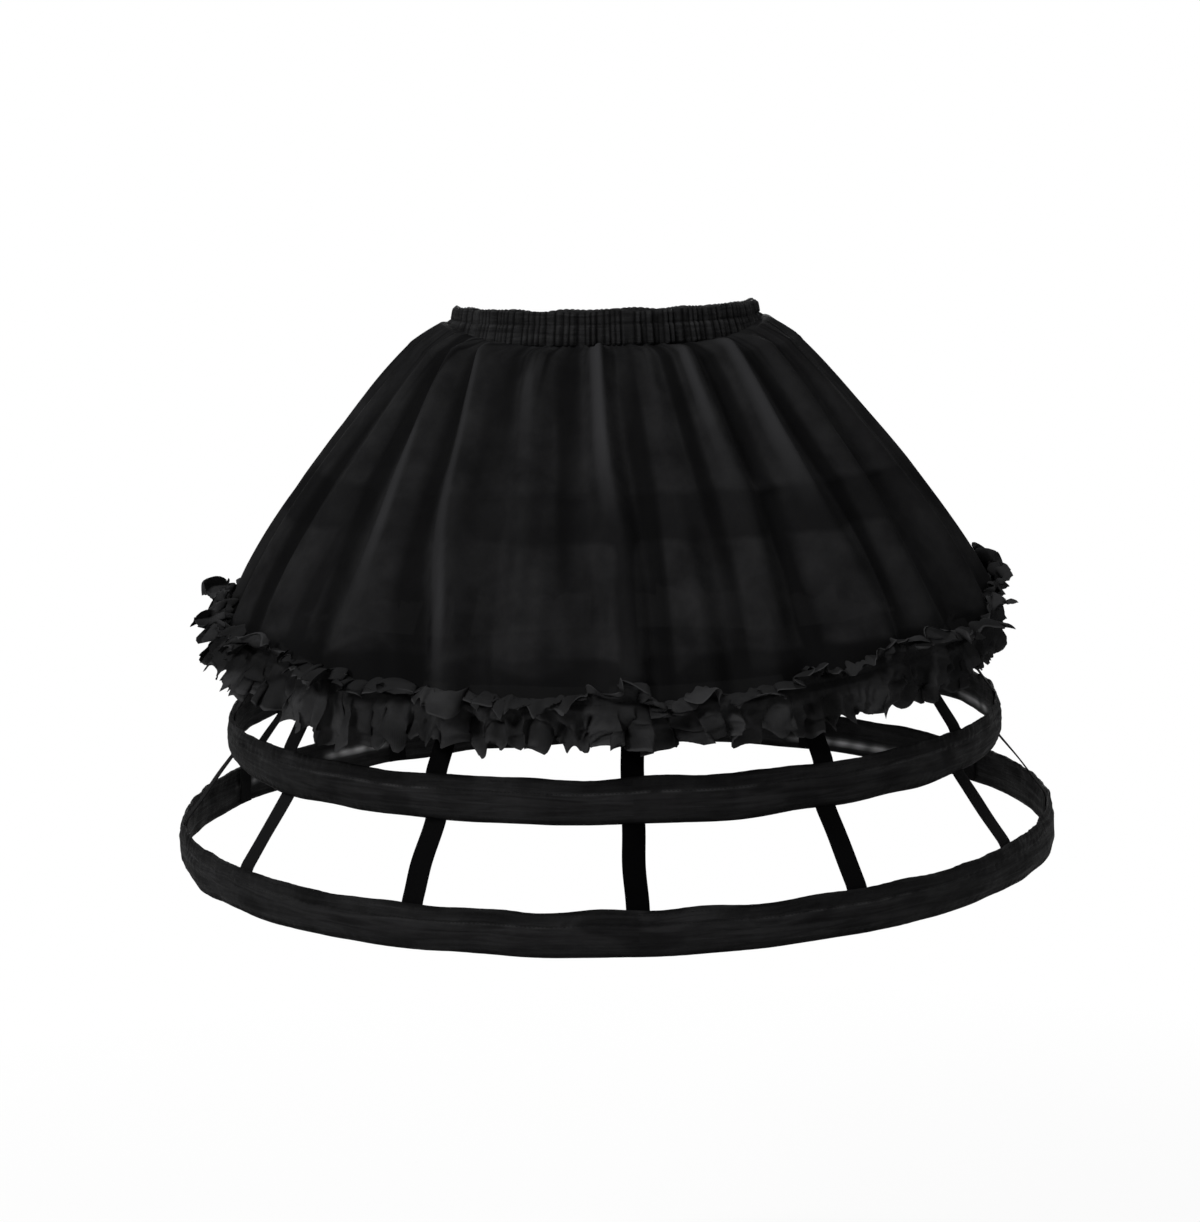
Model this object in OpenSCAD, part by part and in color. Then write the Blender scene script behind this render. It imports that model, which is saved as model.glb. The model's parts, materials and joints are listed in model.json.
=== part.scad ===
// Short crinoline cage: an elastic waistband, four boned hoops hung on twelve tapes,
// and a gathered overskirt with a ruched frill along its hem.
// The origin is the middle of the waist opening, +Z is up and the front looks to -Y.

/* [Waistband] */
// Inside radius of the waistband as worn
waist_r = 111; // [100:1:120]
// Height of the waistband
band_h = 25; // [24:1:32]
// Gathers round the waistband
band_gathers = 72; // [60:4:84]
// How far a gather stands out at the top edge
gather_out = 1.8; // [1:0.1:2.4]
// How much further the gathers spread at the lower edge
gather_spread = 1.6; // [0:0.1:2.4]
// Height of the stitched groove above the middle of the waistband
stitch_rise = 2.7; // [1:0.1:4]
// Height of the stitched groove
stitch_h = 0.8; // [0.5:0.1:1.2]
// Width of the elastic
elastic_w = 14; // [10:0.5:15]
// Thickness of the elastic
elastic_t = 1.2; // [0.8:0.1:1.6]
// Depth of the seam that takes the tops of the tapes and of the overskirt
seam_d = 6.5; // [4:0.5:7]

/* [Hoops] */
// Outside radius of the bottom hoop
bottom_hoop_r = 340; // [320:5:370]
// Outside radius of the top hoop
top_hoop_r = 220; // [205:5:235]
// Height of each hoop's casing
hoop_h = 32; // [28:1:38]
// Drop from the middle of the waistband to the lower edge of the bottom hoop
cage_drop = 404; // [390:2:430]
// Rise from the lower edge of the bottom hoop to that of the next one
hoop_pitch = 81; // [74:1:86]
// How much each rise grows on the way up
pitch_growth = 6.5; // [0:0.5:8]

/* [Bones] */
// Width of the flat steel bone
bone_w = 8; // [6:0.5:11]
// Thickness of the bone
bone_t = 1; // [0.6:0.1:1.4]
// Height of the bone's middle above the casing's lower edge
bone_rise = 13; // [11:0.5:18]
// Space between the bone's two ends
bone_gap = 3; // [1:0.5:6]
// Length of the crimped joiner over the bone's ends
joiner_l = 30; // [20:1:40]
// Wall of the joiner
joiner_t = 0.4; // [0.3:0.05:0.5]
// Slip between the joiner and the bone
joiner_slip = 0.05; // [0.02:0.01:0.08]

/* [Tapes] */
// Width of a tape
tape_w = 16; // [10:1:22]
// Thickness of a tape
tape_t = 0.8; // [0.5:0.1:1.2]
// Degrees by which the tapes are drawn round towards the front
front_draw = 6; // [0:1:10]

/* [Overskirt] */
// Folds round the skirt
skirt_folds = 24; // [18:2:28]
// Depth of a fold at the hem
fold_depth = 8; // [2:0.5:9]
// Thickness of the skirt's cloth
skirt_t = 1; // [0.8:0.1:1.2]
// How far the skirt's shoulder stands out from its seam
shoulder_out = 32; // [24:1:40]
// Drop of the shoulder below the waistband
shoulder_drop = 5.5; // [4.5:0.5:9]
// Clearance between the skirt's folds and the upper edge of the top hoop
skirt_ease = 2; // [1:0.5:6]
// How far the hem stands outside the hoop behind it
hem_out = 40; // [32:1:46]
// Height of the hem above the lower edge of the hoop behind it
hem_rise = 3.5; // [0:0.5:10]

/* [Frill] */
// Height of the frill, from one free edge to the other
frill_h = 69; // [50:1:80]
// Flutes round the frill
frill_flutes = 48; // [36:4:56]
// How far a flute stands out
flute_out = 10; // [5:0.5:14]
// How much of a flute's depth is left at the free edges
edge_share = 0.8; // [0.5:0.05:1.2]
// Thickness of the frill's cloth
frill_t = 1; // [0.8:0.1:1.2]

/* [Cloth] */
// Thickness of one ply of the casings
cloth_t = 1; // [0.9:0.05:1.2]
// Clearance between pieces that are sewn or sheathed together
fit = 0.1; // [0.05:0.05:0.15]

/* [Hidden] */
$fn = 144;
HOOPS = 4;
TAPES = 12;

// Seam at the foot of the waistband: inner ply, tapes, skirt, outer ply
seam_in = waist_r + cloth_t;
tape_top_r = seam_in + fit + tape_t;
skirt_top_in = tape_top_r + fit;
skirt_top_r = skirt_top_in + skirt_t;
seam_out = skirt_top_r + fit;
elastic_in = seam_in + fit;
elastic_room = max(seam_out, elastic_in + elastic_t + fit);
band_out = elastic_room + cloth_t;
band_foot = -band_h / 2;
seam_top = band_foot + seam_d;
elastic_foot = seam_top + cloth_t + fit;
GATHER_STEPS = 4;

// Casing of a hoop: its plies lie flat above and below the bone
casing_t = 2 * cloth_t + bone_t + 2 * fit;
ridge_h = bone_w + 2 * fit + 2 * cloth_t;
ridge_ramp = bone_t + 2 * fit;

function hoop_r(i) = bottom_hoop_r - (bottom_hoop_r - top_hoop_r) * i / (HOOPS - 1);
function hoop_z(i) = -cage_drop + i * hoop_pitch + pitch_growth * i * (i - 1) / 2;
function casing_in(i) = hoop_r(i) - casing_t;
function bone_in(i) = casing_in(i) + cloth_t + fit;
function bone_foot(i) = hoop_z(i) + bone_rise - bone_w / 2;
function arc_deg(length, r) = length / r * 180 / PI;

// Angle of a tape from the front, and the line of its outer face from waist to bottom hoop
TAPE_STEP = 360 / TAPES;
tape_bend = band_foot - 2 * skirt_t - shoulder_drop / 2;
function tape_angle(k) = TAPE_STEP * k - front_draw * sin(TAPE_STEP * k);
function tape_line() = concat(
  [[tape_top_r, seam_top - fit], [tape_top_r, tape_bend]],
  [for (i = [HOOPS - 1:-1:0], z = [hoop_z(i) + hoop_h, hoop_z(i)]) [casing_in(i) - fit, z]]
);

// Flare of the skirt: a curve from its shoulder to the hem that passes over the top hoop's edge
TOP_HOOP = HOOPS - 1;
HEM_HOOP = HOOPS - 2;
FOLD_STEPS = 6;
SHOULDER_FOLD = 0.25;
OVER_HOOP = 0.43;
OVER_TILT = 38;
skirt_sides = skirt_folds * FOLD_STEPS;
skirt_rows = [0, 0.14, 0.3, 0.46, 0.62, 0.76, 0.88, 1];
seam_rows = 2;
skirt_exit = band_foot - shoulder_drop / 3;
shoulder = [skirt_top_r + shoulder_out, band_foot - shoulder_drop];
hem = [hoop_r(HEM_HOOP) + hem_out, hoop_z(HEM_HOOP) + hem_rise];
over_lift = fold(OVER_HOOP) + skirt_t + skirt_ease;
over = [hoop_r(TOP_HOOP), hoop_z(TOP_HOOP) + hoop_h] + over_lift * [cos(OVER_TILT), sin(OVER_TILT)];
draw_out = (over - pow(1 - OVER_HOOP, 2) * shoulder - pow(OVER_HOOP, 2) * hem)
  / (2 * OVER_HOOP * (1 - OVER_HOOP));

function flare(t) = pow(1 - t, 2) * shoulder + 2 * t * (1 - t) * draw_out + t * t * hem;
function flare_run(t) = 2 * (1 - t) * (draw_out - shoulder) + 2 * t * (hem - draw_out);
function flare_out_dir(t) = [-flare_run(t).y, flare_run(t).x] / norm(flare_run(t));
function fold(t) = fold_depth * (SHOULDER_FOLD + (1 - SHOULDER_FOLD) * t);
function round_at(p, a) = [p.x * sin(a), -p.x * cos(a), p.y];
function skirt_section(t, a, inset) =
  flare(t) - flare_out_dir(t) * (fold(t) * (1 - cos(skirt_folds * a)) / 2 + inset);

// Frill: two columns to each side of the skirt, so that it lies flat on the skirt's facets
frill_sides = 2 * skirt_sides;
frill_rows = [-1, -0.5, 0, 0.5, 1];
FLUTE_SWELL = 5;
SWELL_SHARE = 0.25;
frill_climb = frill_h / 2 / norm(flare_run(1));
function frill_angle(k) = 360 * k / frill_sides;
function seam_section(t, k) =
  let (low = floor(k / 2) * 360 / skirt_sides, high = ceil(k / 2) * 360 / skirt_sides)
  (skirt_section(t, low, 0) + skirt_section(t, high, 0)) / 2;
function flute(k) =
  (1 + sin(frill_flutes * frill_angle(k))) / 2 * (1 - SWELL_SHARE * (1 + sin(FLUTE_SWELL * frill_angle(k))));
function flute_share(v) = abs(v) == 1 ? edge_share : abs(v) * 2;
function frill_off(v, k) = fit + frill_t * abs(v) + flute_out * flute_share(v) * flute(k);
function frill_section(v, k, ply) = v <= 0
  ? seam_section(1 + v * frill_climb, k) + flare_out_dir(1 + v * frill_climb) * (frill_off(v, k) + ply)
  : seam_section(1, k) + [frill_off(v, k) + ply, -v * frill_h / 2];

// Triangles of a closed cloth ring: its outer rows from the top down, then its inner rows
function ring_pair(a, b, c, d) = [[a, b, c], [a, c, d]];
function cloth_faces(rows, sides) = [
  for (j = [0:sides - 1])
    let (n = (j + 1) % sides, inner = rows * sides)
    for (i = [0:rows - 1])
      let (
        low = i < rows - 1,
        a = i * sides + j,
        b = i * sides + n,
        foot = (i + 1) * sides
      )
      for (f = concat(
        low ? ring_pair(a, b, foot + n, foot + j) : ring_pair(a, b, inner + b, inner + a),
        low
          ? ring_pair(inner + a, inner + foot + j, inner + foot + n, inner + b)
          : ring_pair(inner + j, inner + n, n, j)
      )) f
];

// A ring of rectangular section, cut over part of a turn that is centred on the back
module back_arc(r, z, wide, tall, degrees) {
  rotate([0, 0, 90 - degrees / 2])
    rotate_extrude(angle = degrees)
      translate([r, z])
        square([wide, tall]);
}

// A full ring of rectangular section
module ring(r, z, wide, tall) {
  rotate_extrude()
    translate([r, z])
      square([wide, tall]);
}

// A length of the waistband's outer face, pleated by its gathers
module gathered(foot, tall, out) {
  turns = band_gathers * GATHER_STEPS;
  translate([0, 0, foot])
    linear_extrude(tall)
      polygon([
        for (k = [0:turns - 1])
          let (r = band_out + out * (1 - cos(360 * k / GATHER_STEPS)) / 2, a = 360 * k / turns)
          [r * cos(a), r * sin(a)]
      ]);
}

// Tunnel waistband: gathered cloth round the elastic, with an open seam along its foot
module waistband_casing() {
  color("#1c1b1d")
    difference() {
      union() {
        gathered(band_foot, seam_d, gather_out + gather_spread);
        gathered(seam_top, stitch_rise - seam_top, gather_out + gather_spread / 2);
        gathered(stitch_rise, stitch_h, gather_out / 4);
        gathered(stitch_rise + stitch_h, band_h / 2 - stitch_rise - stitch_h, gather_out);
      }
      translate([0, 0, band_foot - cloth_t])
        cylinder(h = band_h + 2 * cloth_t, r = waist_r);
      ring(seam_in, band_foot - cloth_t, seam_out - seam_in, seam_d + cloth_t);
      ring(seam_in, elastic_foot - fit, elastic_t + 2 * fit, elastic_w + 2 * fit);
    }
}

// Flat woven elastic inside the waistband
module waist_elastic() {
  color("#2b2a2c")
    ring(elastic_in, elastic_foot, elastic_t, elastic_w);
}

// Two plies of cloth sewn together above and below the tunnel that holds the bone
module hoop_casing(i) {
  flat_r = casing_in(i) + 2 * cloth_t;
  ridge_foot = bone_rise - ridge_h / 2;
  pocket_t = bone_t + 2 * (joiner_t + joiner_slip + fit);
  pocket_h = bone_w + 2 * (joiner_t + joiner_slip + fit);
  color("#1f1e20")
    difference() {
      translate([0, 0, hoop_z(i)])
        rotate_extrude()
          polygon([
            [casing_in(i), 0],
            [flat_r, 0],
            [flat_r, ridge_foot - ridge_ramp],
            [hoop_r(i), ridge_foot],
            [hoop_r(i), ridge_foot + ridge_h],
            [flat_r, ridge_foot + ridge_h + ridge_ramp],
            [flat_r, hoop_h],
            [casing_in(i), hoop_h]
          ]);
      ring(bone_in(i) - fit, bone_foot(i) - fit, bone_t + 2 * fit, bone_w + 2 * fit);
      back_arc(
        bone_in(i) + bone_t / 2 - pocket_t / 2,
        bone_foot(i) + bone_w / 2 - pocket_h / 2,
        pocket_t, pocket_h,
        arc_deg(joiner_l + 2 * fit, bone_in(i))
      );
    }
}

// Flat spring steel bent into a hoop, with its two ends meeting at the back
module hoop_bone(i) {
  color("#d8d8d4")
    rotate([0, 0, 180])
      back_arc(bone_in(i), bone_foot(i), bone_t, bone_w, 360 - arc_deg(bone_gap, bone_in(i)));
}

// Metal sleeve crimped over the bone's two ends
module hoop_joiner(i) {
  grip = joiner_slip + joiner_t;
  turn = arc_deg(joiner_l, bone_in(i));
  color("#b9bbbd")
    difference() {
      back_arc(bone_in(i) - grip, bone_foot(i) - grip, bone_t + 2 * grip, bone_w + 2 * grip, turn);
      ring(
        bone_in(i) - joiner_slip, bone_foot(i) - joiner_slip,
        bone_t + 2 * joiner_slip, bone_w + 2 * joiner_slip
      );
    }
}

// Ribbon sewn into the waistband and to the inner face of every hoop
module tape(k) {
  line = tape_line();
  back = [for (n = [len(line) - 1:-1:0]) line[n] - [tape_t, 0]];
  color("#0e0e10")
    rotate([0, 0, tape_angle(k)])
      intersection() {
        rotate_extrude()
          polygon(concat(line, back));
        translate([-tape_w / 2, -bottom_hoop_r, -cage_drop])
          cube([tape_w, bottom_hoop_r, cage_drop + band_h]);
      }
}

// Sheer skirt, gathered into the waistband and folded all the way down to its hem
module overskirt() {
  angles = [for (j = [0:skirt_sides - 1]) 360 * j / skirt_sides];
  color("#262527")
    polyhedron(
      points = concat(
        [for (z = [seam_top - fit, skirt_exit], a = angles) round_at([skirt_top_r, z], a)],
        [for (t = skirt_rows, a = angles) round_at(skirt_section(t, a, 0), a)],
        [for (z = [seam_top - fit, skirt_exit - skirt_t], a = angles) round_at([skirt_top_in, z], a)],
        [for (t = skirt_rows, a = angles) round_at(skirt_section(t, a, skirt_t), a)]
      ),
      faces = cloth_faces(len(skirt_rows) + seam_rows, skirt_sides)
    );
}

// Ruched frill, stitched along its middle to the skirt's hem, with both edges free
module hem_frill() {
  color("#2a292b")
    polyhedron(
      points = [
        for (ply = [frill_t, 0], v = frill_rows, k = [0:frill_sides - 1])
          round_at(frill_section(v, k, ply), frill_angle(k))
      ],
      faces = cloth_faces(len(frill_rows), frill_sides)
    );
}

waistband_casing();
waist_elastic();
overskirt();
hem_frill();
hoop_casing(0);  // hoop_1_casing
hoop_casing(1);  // hoop_2_casing
hoop_casing(2);  // hoop_3_casing
hoop_casing(3);  // hoop_4_casing
hoop_bone(0);  // hoop_1_bone
hoop_bone(1);  // hoop_2_bone
hoop_bone(2);  // hoop_3_bone
hoop_bone(3);  // hoop_4_bone
hoop_joiner(0);  // hoop_1_joiner
hoop_joiner(1);  // hoop_2_joiner
hoop_joiner(2);  // hoop_3_joiner
hoop_joiner(3);  // hoop_4_joiner
tape(0);  // tape_01
tape(1);  // tape_02
tape(2);  // tape_03
tape(3);  // tape_04
tape(4);  // tape_05
tape(5);  // tape_06
tape(6);  // tape_07
tape(7);  // tape_08
tape(8);  // tape_09
tape(9);  // tape_10
tape(10);  // tape_11
tape(11);  // tape_12
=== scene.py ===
import json
import math

import bpy
import numpy as np
from mathutils import Matrix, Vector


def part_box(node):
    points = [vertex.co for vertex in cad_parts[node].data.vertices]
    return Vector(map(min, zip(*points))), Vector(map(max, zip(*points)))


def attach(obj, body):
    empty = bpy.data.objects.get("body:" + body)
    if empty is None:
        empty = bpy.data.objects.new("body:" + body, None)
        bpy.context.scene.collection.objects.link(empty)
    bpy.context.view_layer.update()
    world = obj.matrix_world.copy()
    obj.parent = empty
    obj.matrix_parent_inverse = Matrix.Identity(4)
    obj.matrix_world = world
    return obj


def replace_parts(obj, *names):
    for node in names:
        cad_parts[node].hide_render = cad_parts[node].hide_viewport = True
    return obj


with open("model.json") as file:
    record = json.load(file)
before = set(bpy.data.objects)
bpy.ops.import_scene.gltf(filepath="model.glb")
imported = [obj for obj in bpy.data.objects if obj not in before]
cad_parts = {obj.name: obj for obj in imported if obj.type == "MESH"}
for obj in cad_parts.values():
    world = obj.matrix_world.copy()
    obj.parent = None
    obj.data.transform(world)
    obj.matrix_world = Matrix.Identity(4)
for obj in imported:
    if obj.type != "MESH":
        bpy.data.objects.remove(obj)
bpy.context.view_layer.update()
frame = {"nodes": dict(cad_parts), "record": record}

# Steel bones and their joiners: flat spring steel bent into four rings inside the hoops, each
# closed at the back by a crimped sleeve. Bright drawn metal with fine lengthwise scratches.
MM = 0.001
HOOPS = (1, 2, 3, 4)
SCRATCHES_PER_METRE = (60, 60, 4000)
SCRATCH_DEEP = 0.02 * MM
BONE_DARK = (0.42, 0.43, 0.45)
BONE_BRIGHT = (0.70, 0.71, 0.72)
JOINER_DARK = (0.36, 0.37, 0.38)
JOINER_BRIGHT = (0.60, 0.60, 0.61)


def new_material(name):
    """A material with its node tree and its one shader."""
    material = bpy.data.materials.new(name)
    material.use_nodes = True
    tree = material.node_tree
    return material, tree, tree.nodes["Principled BSDF"]


def place(tree, kind, **inputs):
    """Adds a node, sets its plain inputs and links those given as sockets."""
    node = tree.nodes.new(kind)
    for key, value in inputs.items():
        socket = node.inputs[int(key[1:])] if key[1:].isdigit() else node.inputs[key.replace("_", " ")]
        if isinstance(value, bpy.types.NodeSocket):
            tree.links.new(value, socket)
        else:
            socket.default_value = value
    return node


def calc(tree, operation, a, b=0.0, c=0.0):
    """One step of arithmetic on numbers or sockets."""
    node = place(tree, "ShaderNodeMath", _0=a, _1=b, _2=c)
    node.operation = operation
    return node.outputs[0]


def tint(tree, factor, low, high):
    """A colour between two others."""
    node = tree.nodes.new("ShaderNodeMix")
    node.data_type = "RGBA"
    node.inputs["A"].default_value = (*low, 1)
    node.inputs["B"].default_value = (*high, 1)
    tree.links.new(factor, node.inputs["Factor"])
    return node.outputs["Result"]


def spread(tree, factor, low, high):
    """A number between two others."""
    return place(tree, "ShaderNodeMapRange", Value=factor, To_Min=low, To_Max=high).outputs["Result"]


def bumped(tree, shader, height, distance, strength=1.0):
    """Fine relief on a shader."""
    bump = place(tree, "ShaderNodeBump", Height=height, Distance=distance, Strength=strength)
    tree.links.new(bump.outputs["Normal"], shader.inputs["Normal"])


def drawn_steel(name, dark, bright, polish):
    """Bright metal with scratches that run along the strip."""
    material, tree, shader = new_material(name)
    at = tree.nodes.new("ShaderNodeTexCoord").outputs["Object"]
    stretch = place(tree, "ShaderNodeMapping", Vector=at, Scale=SCRATCHES_PER_METRE)
    scratch = place(tree, "ShaderNodeTexNoise", Vector=stretch.outputs[0], Scale=1.0, Detail=4.0)
    shader.inputs["Metallic"].default_value = 1.0
    tree.links.new(tint(tree, scratch.outputs["Fac"], dark, bright), shader.inputs["Base Color"])
    tree.links.new(spread(tree, scratch.outputs["Fac"], polish, polish + 0.2), shader.inputs["Roughness"])
    bumped(tree, shader, scratch.outputs["Fac"], SCRATCH_DEEP)
    return material


def dress_node(node, material):
    """Gives a CAD piece that stays in view its material."""
    mesh = frame["nodes"][node].data
    mesh.materials.clear()
    mesh.materials.append(material)


bone_steel = drawn_steel("bone_steel", BONE_DARK, BONE_BRIGHT, polish=0.28)
joiner_steel = drawn_steel("joiner_steel", JOINER_DARK, JOINER_BRIGHT, polish=0.36)
for hoop in HOOPS:
    dress_node(f"hoop_{hoop}_bone", bone_steel)
    dress_node(f"hoop_{hoop}_joiner", joiner_steel)

# Hoop casings: two plies of black cotton sewn into a band, with the bone in a tunnel along its
# lower part. One row of stitches closes the tunnel, one holds the header, and the edges wave.
HOOP_WEAVE = 0.55 * MM
HOOP_GRAIN = 1.7 * MM
HIDDEN_GRAIN = 2.6 * MM
HIDDEN_FROM = 3
OUTER_ROWS = 23
INNER_ROWS = 15
UPPER_SEAM_ROWS = (0.66, 0.69, 0.71, 0.74)
BONE_RISE = 0.40
TUNNEL_HALF = 0.27
TUNNEL_FLAT = 0.55
PLY_EDGE = 1.0 * MM
EDGE_SQUARE = 14
RIDGE_OUT = 1.2 * MM
INNER_RIDGE = 0.6
JOINER_ROOM = 17 * MM
JOINER_EASE = 18 * MM
JOINER_LIFT = 0.9 * MM
HEADER_TUCK = 1.8 * MM
FOOT_TUCK = 0.9 * MM
TOP_WAVE = 0.6 * MM
FOOT_WAVE = 0.5 * MM
BAND_LEAN = 0.8 * MM
WRINKLE = 0.48 * MM
CREASE = 0.30 * MM
SINK_ON_BONE = 0.2 * MM
SINK_BESIDE = 2 * MM
SEAM_PINCH = 0.35 * MM
SEAM_PUCKER = 0.16 * MM
SEAM_HEIGHTS = (0.10, 0.70, 0.93)
FOLD_HEIGHT = 0.685
# Painted highlights: bright streaks inside the bands at the back, and a paler line along the header's
# fold.
HEADER_FOLD_HIGHLIGHT = 0.07
COTTON_HIGHLIGHT_GREY = (0.30, 0.30, 0.305)
# A painted highlight streak's middle and half length in degrees from the front, and its height on the
# band.
HIGHLIGHT_STREAKS_AT = {
    1: ((137, 13, 0.27), (-140, 6, 0.55), (-116, 3, 0.5)),
    2: ((99, 7, 0.20), (-124, 5, 0.4)),
    3: ((60, 5, 0.5), (-150, 6, 0.5)),
    4: ((30, 4, 0.5), (170, 6, 0.5)),
}
# Painted shade colour on the cotton.
COTTON_SHADE_BLACK = (0.0018, 0.0018, 0.0019)
COTTON_BLACK = (0.0026, 0.0026, 0.0027)
COTTON_GREY = (0.0165, 0.0165, 0.0170)
COTTON_RELIEF = 0.12 * MM
THREAD_BLACK = (0.004, 0.004, 0.0042)
THREAD_GREY = (0.010, 0.010, 0.0104)
THREAD_WEAVE = 0.4 * MM
STITCH_LENGTH = 3.0 * MM
STITCH_THICK = 0.45 * MM
STITCH_PROUD = 0.05 * MM
TURN = 2 * math.pi


def around(count):
    """Angles round the cage, from the front (-Y) towards +X."""
    return np.linspace(0, TURN, count, endpoint=False)


def on_ring(angle, r, z):
    """Points at an angle, a radius and a height."""
    angle, r, z = np.broadcast_arrays(angle, r, z)
    return np.stack([r * np.sin(angle), -r * np.cos(angle), z], -1)


def smooth(x, low, high):
    """An eased step from 0 at one value to 1 at another."""
    t = np.clip((x - low) / (high - low), 0, 1)
    return t * t * (3 - 2 * t)


def chance_waves(angle, across, seed, count, slow, fast, lean):
    """A soft uneven wave round the ring, of about unit height, that leans as it goes across."""
    draw = np.random.default_rng(seed)
    total = np.zeros(np.broadcast(angle, across).shape)
    for _ in range(count):
        turns = draw.integers(slow, fast + 1)
        total += np.sin(turns * angle + draw.uniform(-lean, lean) * across + draw.uniform(0, TURN))
    return total / math.sqrt(count / 2)


def cloth_mesh(name, grid, across_closed=False, along_closed=True):
    """A quad mesh over a grid of points (across, along, xyz), with its threads' lengths as UVs."""
    across, along = grid.shape[:2]
    i, j = np.meshgrid(
        np.arange(across - 1 + across_closed), np.arange(along - 1 + along_closed), indexing="ij"
    )
    corners = [(i, j), (i, j + 1), (i + 1, j + 1), (i + 1, j)]
    quads = np.stack([(a % across) * along + b % along for a, b in corners], -1).reshape(-1, 4)
    middle = grid[across // 2]
    step_along = np.linalg.norm(np.diff(middle, axis=0), axis=1).mean()
    first = np.concatenate([grid[:, :1], grid[:1, :1]])[:, 0]
    run_across = np.concatenate([[0], np.cumsum(np.linalg.norm(np.diff(first, axis=0), axis=1))])
    uv = np.stack([np.stack([b * step_along, run_across[a]], -1) for a, b in corners], 2)
    mesh = bpy.data.meshes.new(name)
    mesh.vertices.add(across * along)
    mesh.vertices.foreach_set("co", grid.reshape(-1))
    mesh.loops.add(quads.size)
    mesh.loops.foreach_set("vertex_index", quads.reshape(-1))
    mesh.polygons.add(len(quads))
    mesh.polygons.foreach_set("loop_start", np.arange(0, quads.size, 4))
    mesh.polygons.foreach_set("use_smooth", np.ones(len(quads), bool))
    mesh.update(calc_edges=True)
    mesh.uv_layers.new(name="threads").data.foreach_set("uv", uv.reshape(-1))
    mesh.validate()
    return mesh


def add_piece(name, mesh, material):
    """Sets a piece on the body that all of the cage rides on."""
    piece = bpy.data.objects.new(name, mesh)
    bpy.context.scene.collection.objects.link(piece)
    mesh.materials.append(material)
    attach(piece, "root")
    return piece


def weave_group():
    """Plain weave: warp and weft threads that pass over and under each other."""
    group = bpy.data.node_groups.new("plain_weave", "ShaderNodeTree")
    pitch = group.interface.new_socket("Pitch", in_out="INPUT", socket_type="NodeSocketFloat")
    pitch.default_value = 0.001
    group.interface.new_socket("Height", in_out="OUTPUT", socket_type="NodeSocketFloat")
    group.interface.new_socket("Holes", in_out="OUTPUT", socket_type="NodeSocketFloat")
    came_in = group.nodes.new("NodeGroupInput")
    goes_out = group.nodes.new("NodeGroupOutput")
    thread = place(group, "ShaderNodeSeparateXYZ", Vector=group.nodes.new("ShaderNodeUVMap").outputs[0])
    turns = []
    for way in ("X", "Y"):
        count = calc(group, "DIVIDE", thread.outputs[way], came_in.outputs["Pitch"])
        turns.append(calc(group, "SINE", calc(group, "MULTIPLY", count, math.pi)))
    warp, weft = (calc(group, "ABSOLUTE", t) for t in turns)
    over = calc(group, "GREATER_THAN", calc(group, "MULTIPLY", *turns), 0.0)
    lift = calc(group, "MULTIPLY_ADD", over, calc(group, "SUBTRACT", warp, weft), weft)
    group.links.new(lift, goes_out.inputs["Height"])
    hole = calc(group, "SUBTRACT", 1.0, calc(group, "MAXIMUM", warp, weft))
    group.links.new(hole, goes_out.inputs["Holes"])
    return group


def mottle_group():
    """Uneven dye, pressing and lint: broad cloudy patches with a finer grain in them."""
    group = bpy.data.node_groups.new("cloth_mottle", "ShaderNodeTree")
    size = group.interface.new_socket("Size", in_out="INPUT", socket_type="NodeSocketFloat")
    size.default_value = 0.03
    group.interface.new_socket("Tone", in_out="OUTPUT", socket_type="NodeSocketFloat")
    came_in = group.nodes.new("NodeGroupInput")
    goes_out = group.nodes.new("NodeGroupOutput")
    at = group.nodes.new("ShaderNodeTexCoord").outputs["Object"]
    finer = calc(group, "DIVIDE", 1.0, came_in.outputs["Size"])
    cloud = place(group, "ShaderNodeTexNoise", Vector=at, Scale=finer, Detail=5.0, Roughness=0.62)
    tone = place(group, "ShaderNodeMapRange", Value=cloud.outputs["Fac"], From_Min=0.3, From_Max=0.7)
    group.links.new(tone.outputs["Result"], goes_out.inputs["Tone"])
    return group


def crease_group():
    """Long pressed creases along the cloth, lighter along their raised lines."""
    group = bpy.data.node_groups.new("long_creases", "ShaderNodeTree")
    group.interface.new_socket("Tone", in_out="OUTPUT", socket_type="NodeSocketFloat")
    goes_out = group.nodes.new("NodeGroupOutput")
    threads = group.nodes.new("ShaderNodeUVMap").outputs[0]
    stretch = place(group, "ShaderNodeMapping", Vector=threads, Scale=(16, 230, 1))
    cloud = place(group, "ShaderNodeTexNoise", Vector=stretch.outputs[0], Scale=1.0, Detail=4.0)
    cloud.inputs["Roughness"].default_value = 0.6
    cloud.inputs["Distortion"].default_value = 0.8
    tone = place(group, "ShaderNodeMapRange", Value=cloud.outputs["Fac"], From_Min=0.36, From_Max=0.68)
    group.links.new(tone.outputs["Result"], goes_out.inputs["Tone"])
    return group


PLAIN_WEAVE = weave_group()
CLOTH_MOTTLE = mottle_group()
LONG_CREASES = crease_group()


def use_group(tree, group, **inputs):
    """Places an effect in a material with its own values."""
    node = tree.nodes.new("ShaderNodeGroup")
    node.node_tree = group
    for key, value in inputs.items():
        node.inputs[key].default_value = value
    return node


def mark_cloth(mesh, name, share):
    """Writes how much of a quality each point of the cloth has."""
    mesh.attributes.new(name, "FLOAT", "POINT").data.foreach_set("value", share.reshape(-1))


def marked(tree, name):
    """The quality written on the cloth under a name, as a mask."""
    node = tree.nodes.new("ShaderNodeAttribute")
    node.attribute_name = name
    return node.outputs["Fac"]


def recolour(tree, colour, factor, other):
    """A colour turned towards another one where a mask says so."""
    node = tree.nodes.new("ShaderNodeMix")
    node.data_type = "RGBA"
    tree.links.new(factor, node.inputs["Factor"])
    tree.links.new(colour, node.inputs["A"])
    node.inputs["B"].default_value = (*other, 1)
    return node.outputs["Result"]


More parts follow.
